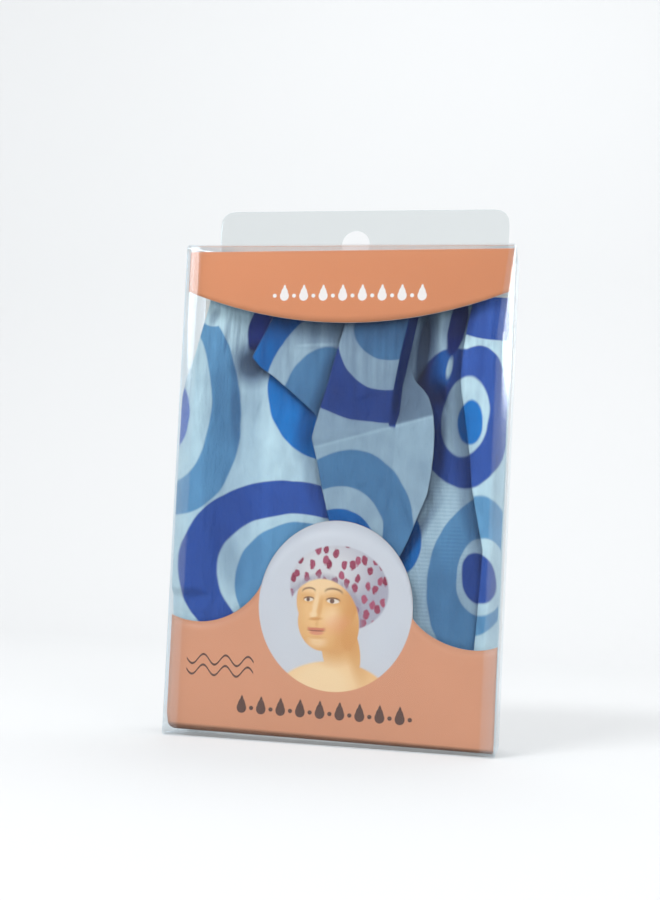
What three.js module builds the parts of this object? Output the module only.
// Boxed shower cap: a gathered cap, folded flat on a printed card insert, in a clear film box.
// The box stands on its base, has a hang tab, and closes with creased tuck ends at top and base.
// Millimetres, +Z up, front towards -Y, origin at the middle of the base.

import * as THREE from 'three';

// Box
const boxWidth = 100;
const boxDepth = 25;
const boxHeight = 150;
const filmThickness = 0.4;
const creaseGap = 0.1;

// Hang tab, which carries the back panel on upwards
const tabWidth = 93;
const tabHeight = 17.5;
const tabCorner = 5;
const hangHoleDiameter = 9;
const hangHoleDrop = 10.9;
const hangHoleShift = 1.8;

// Glue seam, which folds from the left panel on to the back panel
const seamWidth = 10;
const seamEndGap = 13;
const seamTaper = 3;

// Tuck ends: a lid, its tuck flap and two dust flaps, the same at top and base
const lidSideGap = 0.4;
const tuckLength = 10;
const tuckShoulder = 1.2;
const tuckCorner = 4;
const tuckSlack = 0.9;
const dustLength = 14;
const dustFrontGap = 0.8;
const dustFrontTaper = 10.2;
const dustBackGap = 0.7;
const dustBackTaper = 4;
const dustCorner = 1.5;

// Card insert, one printed card folded round the cap, which stands slightly askew in the box
const cardThickness = 0.4;
const seatGap = 0.3;
const insertSidePlay = 1.7;
const insertFrontPlay = 0.5;
const insertTopPlay = 1.1;
const insertTuckPlay = 2.2;
const insertSetback = 3.7;
const headerSideDrop = 13.5;
const headerMiddleDrop = 22.5;
const baseLeftHeight = 33.3;
const baseRightHeight = 32.4;
const baseCorner = 3;
const discHeight = 39.5;
const discHalfWidth = 22.7;
const discHalfHeight = 25.5;
const leftCuspHeight = 44.2;
const rightCuspHeight = 37.3;
const backCorner = 2;

// Folded cap
const capSideGap = 1;
const capFootRadius = 7;
const capHemTaper = 12;
const foldRelief = 3.4;
const pocketHalfDepth = 2;
const pocketSideWall = 5;
const pocketFoot = 9;
const liningWall = 1;
const liningSlit = 0.4;

// Hem casing with the elastic in its channel
const hemHeight = 12;
const hemTopGap = 1.2;
const hemHalfLength = 40;
const hemHalfDepth = 2.7;
const hemShift = 1.8;
const hemHalfThickness = 1.6;
const gatherDepth = 0.45;
const gatherCount = 18;
const stepsPerGather = 5;
const channelHalfWidth = 0.7;
const channelFloor = 3;
const channelRoof = 2;
const stitchSlit = 0.2;
const elasticClearance = 0.35;

// Curves are drawn with these counts
const cornerSteps = 4;
const arcSteps = 18;

// Worked out from the sizes above
const halfWidth = boxWidth / 2;
const halfDepth = boxDepth / 2;
const halfHeight = boxHeight / 2;
const creaseStep = filmThickness + creaseGap;
const innerBack = halfDepth - filmThickness;
const tuckOuter = innerBack - tuckSlack;
const tuckInner = tuckOuter - filmThickness;
const insertWidth = boxWidth - 2 * filmThickness - insertSidePlay;
const insertDepth = tuckInner - insertTuckPlay - insertSetback - insertFrontPlay + innerBack;
const insertSkew = Math.asin(insertSetback / insertWidth);
const insertFoot = creaseStep + filmThickness + seatGap;
const insertHeight = boxHeight - 2 * creaseStep - insertTopPlay - insertFoot;
const insertRight = halfWidth - filmThickness - seatGap - insertDepth * Math.sin(insertSkew);
const capHalfWidth = insertWidth / 2 - capSideGap;
const capMiddle = insertDepth / 2;
const capHalfDepth = capMiddle - cardThickness - seatGap;
const capFoot = cardThickness + seatGap;
const hemTop = insertHeight - cardThickness - hemTopGap;
const hemFoot = hemTop - hemHeight;
const capTop = hemFoot - seatGap;

const film = new THREE.MeshStandardMaterial({
  color: 0xeef3f5, roughness: 0.12, metalness: 0, transparent: true, opacity: 0.3,
});
const printedCard = new THREE.MeshStandardMaterial({ color: 0xe39a74, roughness: 0.45, metalness: 0 });
const plainCard = new THREE.MeshStandardMaterial({ color: 0xe4e2dc, roughness: 0.8, metalness: 0 });
const printedCloth = new THREE.MeshStandardMaterial({ color: 0x6f9fc4, roughness: 0.7, metalness: 0 });
const hemCloth = new THREE.MeshStandardMaterial({ color: 0x4a63ad, roughness: 0.7, metalness: 0 });
const liningFilm = new THREE.MeshStandardMaterial({ color: 0xe8edf0, roughness: 0.35, metalness: 0 });
const elasticRubber = new THREE.MeshStandardMaterial({ color: 0xf0efec, roughness: 0.8, metalness: 0 });

function addMesh(parent, name, geometry, material, place = [0, 0, 0]) {
  const mesh = new THREE.Mesh(geometry, material);
  mesh.name = name;
  mesh.position.set(...place);
  parent.add(mesh);
  return mesh;
}

// A sheet cut to an outline: 'front' outlines are drawn in X and Z and grow towards the front,
// 'side' ones in Y and Z and grow towards +X, and 'flat' ones in X and Y and grow upwards.
function sheet(outline, thickness, plane) {
  const geometry = new THREE.ExtrudeGeometry(outline, {
    depth: thickness, bevelEnabled: false, curveSegments: arcSteps,
  });
  const right = new THREE.Vector3(1, 0, 0);
  const back = new THREE.Vector3(0, 1, 0);
  const up = new THREE.Vector3(0, 0, 1);
  const frames = {
    front: [right, up, back.clone().negate()],
    side: [back, up, right],
    flat: [right, back, up],
  };
  return geometry.applyMatrix4(new THREE.Matrix4().makeBasis(...frames[plane]));
}

// A polygon whose corners may be rounded: each corner is [x, y, radius].
function cutOutline(corners) {
  const points = [];
  corners.forEach(([x, y, radius = 0], index) => {
    const corner = new THREE.Vector2(x, y);
    if (radius === 0) {
      points.push(corner);
      return;
    }
    const before = new THREE.Vector2(...corners.at(index - 1));
    const after = new THREE.Vector2(...corners[(index + 1) % corners.length]);
    const start = before.sub(corner).setLength(radius).add(corner);
    const end = after.sub(corner).setLength(radius).add(corner);
    points.push(...new THREE.QuadraticBezierCurve(start, corner, end).getPoints(cornerSteps));
  });
  return new THREE.Shape(points);
}

function rectangle(width, height, radius = 0) {
  return cutOutline([
    [-width / 2, 0, radius], [width / 2, 0, radius], [width / 2, height, radius], [-width / 2, height, radius],
  ]);
}

function addWalls(model) {
  const frontHeight = boxHeight - 2 * creaseStep;
  const sideHeight = boxHeight - 4 * creaseStep;
  const front = sheet(rectangle(boxWidth, frontHeight), filmThickness, 'front');
  addMesh(model, 'front_panel', front, film, [0, filmThickness - halfDepth, creaseStep]);
  const back = sheet(rectangle(boxWidth, boxHeight), filmThickness, 'front');
  addMesh(model, 'back_panel', back, film, [0, halfDepth, 0]);
  const side = sheet(rectangle(2 * innerBack, sideHeight), filmThickness, 'side');
  addMesh(model, 'right_panel', side, film, [halfWidth - filmThickness, 0, 2 * creaseStep]);
  addMesh(model, 'left_panel', side.clone(), film, [-halfWidth, 0, 2 * creaseStep]);
}

function addHangTab(model) {
  const outline = cutOutline([
    [-tabWidth / 2, 0], [tabWidth / 2, 0],
    [tabWidth / 2, tabHeight, tabCorner], [-tabWidth / 2, tabHeight, tabCorner],
  ]);
  const hole = new THREE.Path();
  hole.absarc(-hangHoleShift, tabHeight - hangHoleDrop, hangHoleDiameter / 2, 0, 2 * Math.PI, true);
  outline.holes.push(hole);
  addMesh(model, 'hang_tab', sheet(outline, filmThickness, 'front'), film, [0, halfDepth, boxHeight]);
}

function addGlueSeam(model) {
  const length = boxHeight - 2 * seamEndGap;
  const outline = cutOutline([
    [0, 0], [seamWidth, seamTaper], [seamWidth, length - seamTaper], [0, length],
  ]);
  const place = [filmThickness - halfWidth, innerBack, seamEndGap];
  addMesh(model, 'glue_seam', sheet(outline, filmThickness, 'front'), film, place);
}

// A dust flap drawn with its crease at x = 0 and growing towards -X. Its front edge is cut back
// so that it stays under the lid while both rise, and its back edge stays clear of the tuck flap.
function dustFlapOutline() {
  const creaseFront = -halfDepth + filmThickness + dustFrontGap;
  const tipFront = creaseFront + dustFrontTaper;
  const creaseBack = tuckInner - dustBackGap;
  const tipBack = creaseBack - dustBackTaper;
  return cutOutline([
    [0, creaseFront], [0, creaseBack],
    [-dustLength, tipBack, dustCorner], [-dustLength, tipFront, dustCorner],
  ]);
}

// One tuck end, drawn as the top one about the middle of the box, so half a turn about Y
// makes it the one at the base.
function tuckEnd(name, minusSide, plusSide) {
  const end = new THREE.Group();
  const lidDepth = tuckOuter + halfDepth;
  const lidWidth = boxWidth - 2 * lidSideGap;
  const lid = sheet(rectangle(lidWidth, lidDepth), filmThickness, 'flat');
  addMesh(end, `${name}_lid`, lid, film, [0, -halfDepth, halfHeight - filmThickness]);

  const tuckHalf = lidWidth / 2 - tuckShoulder;
  const tuck = cutOutline([
    [-tuckHalf, 0], [-tuckHalf, -tuckLength, tuckCorner], [tuckHalf, -tuckLength, tuckCorner], [tuckHalf, 0],
  ]);
  addMesh(end, `${name}_tuck_flap`, sheet(tuck, filmThickness, 'front'), film,
    [0, tuckOuter, halfHeight - creaseStep]);

  const flap = sheet(dustFlapOutline(), filmThickness, 'flat');
  const level = halfHeight - creaseStep - filmThickness;
  addMesh(end, `${name}_dust_flap_${plusSide}`, flap, film, [halfWidth, 0, level]);
  const mirrored = sheet(dustFlapOutline(), filmThickness, 'flat');
  mirrored.rotateY(Math.PI);
  addMesh(end, `${name}_dust_flap_${minusSide}`, mirrored, film, [-halfWidth, 0, level + filmThickness]);
  return end;
}

function headerOutline() {
  const half = insertWidth / 2;
  const outline = new THREE.Shape();
  outline.moveTo(-half, insertHeight - headerSideDrop);
  outline.quadraticCurveTo(
    0, insertHeight - 2 * headerMiddleDrop + headerSideDrop,
    half, insertHeight - headerSideDrop,
  );
  outline.lineTo(half, insertHeight);
  outline.lineTo(-half, insertHeight);
  return outline;
}

// The base band: a wave at each side that runs up into the round vignette.
function baseOutline() {
  const half = insertWidth / 2;
  const rightAngle = Math.asin((rightCuspHeight - discHeight) / discHalfHeight);
  const leftAngle = Math.PI - Math.asin((leftCuspHeight - discHeight) / discHalfHeight);
  const rightCusp = discHalfWidth * Math.cos(rightAngle);
  const leftCusp = discHalfWidth * Math.cos(leftAngle);
  const waveShares = { rightOut: 0.7, rightIn: 0.2, leftIn: 0.12, leftOut: 0.55 };
  const right = (share) => rightCusp + share * (half - rightCusp);
  const left = (share) => leftCusp - share * (half + leftCusp);
  const rightSag = (rightCuspHeight - baseRightHeight) / 4;
  const leftSag = (leftCuspHeight - baseLeftHeight) / 4;
  const outline = new THREE.Shape();
  outline.moveTo(-half + baseCorner, 0);
  outline.lineTo(half, 0);
  outline.lineTo(half, baseRightHeight);
  outline.bezierCurveTo(
    right(waveShares.rightOut), baseRightHeight - rightSag,
    right(waveShares.rightIn), baseRightHeight,
    rightCusp, rightCuspHeight,
  );
  outline.absellipse(0, discHeight, discHalfWidth, discHalfHeight, rightAngle, leftAngle, false);
  outline.bezierCurveTo(
    left(waveShares.leftIn), baseLeftHeight + leftSag,
    left(waveShares.leftOut), baseLeftHeight - 2 * leftSag,
    -half, baseLeftHeight,
  );
  outline.lineTo(-half, baseCorner);
  outline.quadraticCurveTo(-half, 0, -half + baseCorner, 0);
  return outline;
}

function addCardInsert(insert) {
  const foldDepth = insertDepth - 2 * cardThickness - 2 * seatGap;
  const fold = sheet(rectangle(insertWidth, foldDepth), cardThickness, 'flat');
  const foldFront = cardThickness + seatGap;
  const header = sheet(headerOutline(), cardThickness, 'front');
  addMesh(insert, 'card_header', header, printedCard, [0, cardThickness, 0]);
  addMesh(insert, 'card_base', sheet(baseOutline(), cardThickness, 'front'), printedCard, [0, cardThickness, 0]);
  addMesh(insert, 'card_top_fold', fold, printedCard, [0, foldFront, insertHeight - cardThickness]);
  addMesh(insert, 'card_bottom_fold', fold.clone(), printedCard, [0, foldFront, 0]);
  const back = sheet(rectangle(insertWidth, insertHeight, backCorner), cardThickness, 'front');
  addMesh(insert, 'card_back', back, plainCard, [0, insertDepth, 0]);
}

// A closed body from its vertices and triangles, turned so that its faces point out.
function closedBody(vertices, triangles) {
  let volume = 0;
  triangles.forEach(([a, b, c]) => {
    volume += vertices[a].dot(vertices[b].clone().cross(vertices[c]));
  });
  const order = volume > 0 ? triangles : triangles.map(([a, b, c]) => [a, c, b]);
  const geometry = new THREE.BufferGeometry();
  const positions = vertices.flatMap((vertex) => vertex.toArray());
  geometry.setAttribute('position', new THREE.Float32BufferAttribute(positions, 3));
  geometry.setIndex(order.flat());
  geometry.computeVertexNormals();
  return geometry;
}

// A skin through loops of equally many points, closed by a fan at the first and last loop.
function skinBody(loops) {
  const count = loops[0].length;
  const vertices = loops.flat();
  const triangles = [];
  for (let row = 0; row < loops.length - 1; row += 1) {
    for (let column = 0; column < count; column += 1) {
      const next = (column + 1) % count;
      const low = row * count;
      const high = low + count;
      triangles.push([low + column, low + next, high + next], [low + column, high + next, high + column]);
    }
  }
  [0, loops.length - 1].forEach((row) => {
    const middle = new THREE.Vector3();
    loops[row].forEach((point) => middle.addScaledVector(point, 1 / count));
    const hub = vertices.push(middle) - 1;
    for (let column = 0; column < count; column += 1) {
      const here = row * count + column;
      const next = row * count + ((column + 1) % count);
      triangles.push(row === 0 ? [hub, next, here] : [hub, here, next]);
    }
  });
  return closedBody(vertices, triangles);
}

// A ring through sections of equally many points, the last joined to the first.
function ringBody(sections) {
  const count = sections[0].length;
  const total = sections.length * count;
  const triangles = [];
  for (let first = 0; first < total; first += count) {
    const second = (first + count) % total;
    for (let point = 0; point < count; point += 1) {
      const next = (point + 1) % count;
      triangles.push([first + point, first + next, second + next], [first + point, second + next, second + point]);
    }
  }
  return closedBody(sections.flat(), triangles);
}

// Fold lines of the cap's front, from left to right, as shares of its half width at the foot,
// at half height and at the hem, with the share of the relief that the line lies back by.
const foldLineShares = [
  [-1.00, -1.00, -0.86, 1.90],
  [-0.97, -0.96, -0.82, 0.70],
  [-0.86, -0.85, -0.74, 0.05],
  [-0.58, -0.62, -0.62, 1.00],
  [-0.34, -0.44, -0.46, 0.20],
  [-0.17, -0.32, -0.28, 1.00],
  [-0.12, -0.26, -0.13, 0.45],
  [-0.05, -0.20, -0.04, 0.95],
  [0.01, -0.14, 0.03, 0.05],
  [0.22, 0.10, 0.18, 0.30],
  [0.42, 0.52, 0.33, 0.00],
  [0.50, 0.61, 0.42, 1.00],
  [0.64, 0.70, 0.56, 0.15],
  [0.84, 0.81, 0.76, 0.90],
  [0.93, 0.92, 0.90, 0.10],
  [0.98, 0.98, 0.95, 0.70],
  [1.00, 1.00, 0.97, 1.90],
];
const capRowShares = [0, 0.01, 0.03, 0.055, 0.12, 0.22, 0.32, 0.42, 0.52, 0.62, 0.72, 0.82, 0.9, 0.95, 1];
const backShares = [0.96, 0.5, 0, -0.5, -0.96];
const reliefAtFootShare = 0.4;
const hemDepthShare = 0.62;

// Value at height share t of a curve through foot, middle and hem values.
function throughThree(foot, middle, hem, t) {
  return foot * (1 - t) * (1 - 2 * t) + middle * 4 * t * (1 - t) + hem * t * (2 * t - 1);
}

function capFrontLoop(heightShare) {
  const z = capFoot + heightShare * (capTop - capFoot);
  const footRise = Math.min(1, (z - capFoot) / capFootRadius);
  const rounding = Math.sqrt(1 - (1 - footRise) ** 2);
  const taper = THREE.MathUtils.smoothstep(z, capTop - capHemTaper, capTop);
  const swell = (0.12 + 0.88 * rounding) * (1 - (1 - hemDepthShare) * taper);
  const relief = foldRelief * swell * (reliefAtFootShare + (1 - reliefAtFootShare) * heightShare);
  const lines = foldLineShares.map(([foot, middle, hem, lieBack]) => ({
    x: capHalfWidth * throughThree(foot, middle, hem, heightShare),
    y: capMiddle - capHalfDepth * swell + lieBack * relief,
  }));
  const loop = [];
  lines.forEach((line, index) => {
    loop.push(new THREE.Vector3(line.x, line.y, z));
    const next = lines[index + 1];
    if (next) {
      loop.push(new THREE.Vector3((line.x + next.x) / 2, (line.y + next.y) / 2, z));
    }
  });
  const right = lines.at(-1).x;
  const left = lines[0].x;
  backShares.forEach((share) => {
    const x = (left + right) / 2 + (share * (right - left)) / 2;
    loop.push(new THREE.Vector3(x, capMiddle + capHalfDepth * swell, z));
  });
  return loop;
}

// A flat racetrack loop with as many points as asked, each as a share round it.
function flatLoop(count, left, right, halfThickness, z) {
  const loop = [];
  for (let step = 0; step < count; step += 1) {
    const angle = (2 * Math.PI * (step + 0.5)) / count;
    const reach = Math.max(-1, Math.min(1, -1.15 * Math.cos(angle)));
    const depth = Math.max(-1, Math.min(1, -1.6 * Math.sin(angle)));
    const x = (left + right) / 2 + (reach * (right - left)) / 2;
    loop.push(new THREE.Vector3(x, capMiddle + depth * halfThickness, z));
  }
  return loop;
}

function addCapShell(insert) {
  const outer = capRowShares.map(capFrontLoop);
  const count = outer[0].length;
  const left = -capHalfWidth * Math.abs(foldLineShares[0][2]) + pocketSideWall;
  const right = capHalfWidth * foldLineShares.at(-1)[2] - pocketSideWall;
  const inner = [capTop, (capTop + pocketFoot) / 2, pocketFoot].map(
    (z) => flatLoop(count, left, right, pocketHalfDepth, z),
  );
  addMesh(insert, 'cap_shell', skinBody([...outer, ...inner]), printedCloth);

  const liningCount = 20;
  const levels = [pocketFoot + seatGap, capTop];
  const liningOuter = levels.map((z) => flatLoop(
    liningCount, left + seatGap, right - seatGap, pocketHalfDepth - seatGap, z,
  ));
  const slitLevels = [capTop, pocketFoot + seatGap + liningWall];
  const liningInner = slitLevels.map((z) => flatLoop(
    liningCount, left + seatGap + liningWall, right - seatGap - liningWall, liningSlit, z,
  ));
  addMesh(insert, 'cap_lining', skinBody([...liningOuter, ...liningInner]), liningFilm);
}

// Points round the flat loop of the hem, each with the way that points out of the loop.
function hemStations() {
  const straight = 2 * (hemHalfLength - hemHalfDepth);
  const turn = Math.PI * hemHalfDepth;
  const length = 2 * straight + 2 * turn;
  const total = gatherCount * stepsPerGather;
  return Array.from({ length: total }, (_, step) => {
    const travel = (length * step) / total;
    const side = travel < straight + turn ? 1 : -1;
    const along = side === 1 ? travel : travel - straight - turn;
    if (along < straight) {
      return { x: side * (along - straight / 2), y: -side * hemHalfDepth, outX: 0, outY: -side, step };
    }
    const angle = (along - straight) / hemHalfDepth;
    const outX = side * Math.sin(angle);
    const outY = -side * Math.cos(angle);
    return { x: (side * straight) / 2 + outX * hemHalfDepth, y: outY * hemHalfDepth, outX, outY, step };
  });
}

function hemSections(profile) {
  return hemStations().map((station) => {
    const ripple = gatherDepth * Math.cos((2 * Math.PI * station.step) / stepsPerGather);
    return profile.map(([out, up, gathered]) => {
      const reach = out + (gathered ? ripple : 0);
      return new THREE.Vector3(
        hemShift + station.x + reach * station.outX,
        capMiddle + station.y + reach * station.outY,
        hemFoot + up,
      );
    });
  });
}

function addHem(insert) {
  const channelTop = hemHeight - channelRoof;
  const casing = [
    [-hemHalfThickness, 0, true], [-stitchSlit, 0, false],
    [-stitchSlit, channelFloor, false], [-channelHalfWidth, channelFloor, false],
    [-channelHalfWidth, channelTop, false], [channelHalfWidth, channelTop, false],
    [channelHalfWidth, channelFloor, false], [stitchSlit, channelFloor, false],
    [stitchSlit, 0, false], [hemHalfThickness, 0, true],
    [hemHalfThickness, hemHeight, true], [-hemHalfThickness, hemHeight, true],
  ];
  addMesh(insert, 'cap_hem', ringBody(hemSections(casing)), hemCloth);
  const bandHalf = channelHalfWidth - elasticClearance;
  const band = [
    [-bandHalf, channelFloor + elasticClearance, false], [bandHalf, channelFloor + elasticClearance, false],
    [bandHalf, channelTop - elasticClearance, false], [-bandHalf, channelTop - elasticClearance, false],
  ];
  addMesh(insert, 'cap_elastic', ringBody(hemSections(band)), elasticRubber);
}

const model = new THREE.Group();
addWalls(model);
addHangTab(model);
addGlueSeam(model);

const topEnd = tuckEnd('top', 'left', 'right');
topEnd.position.z = halfHeight;
model.add(topEnd);
const bottomEnd = tuckEnd('bottom', 'right', 'left');
bottomEnd.rotation.y = Math.PI;
bottomEnd.position.z = halfHeight;
model.add(bottomEnd);

// The insert is drawn about its own middle and turned about its front right edge.
const insertPivot = new THREE.Group();
insertPivot.position.set(insertRight, insertFrontPlay - innerBack, insertFoot);
insertPivot.rotation.z = -insertSkew;
const insert = new THREE.Group();
insert.position.x = -insertWidth / 2;
insertPivot.add(insert);
addCardInsert(insert);
addCapShell(insert);
addHem(insert);
model.add(insertPivot);

export default model;
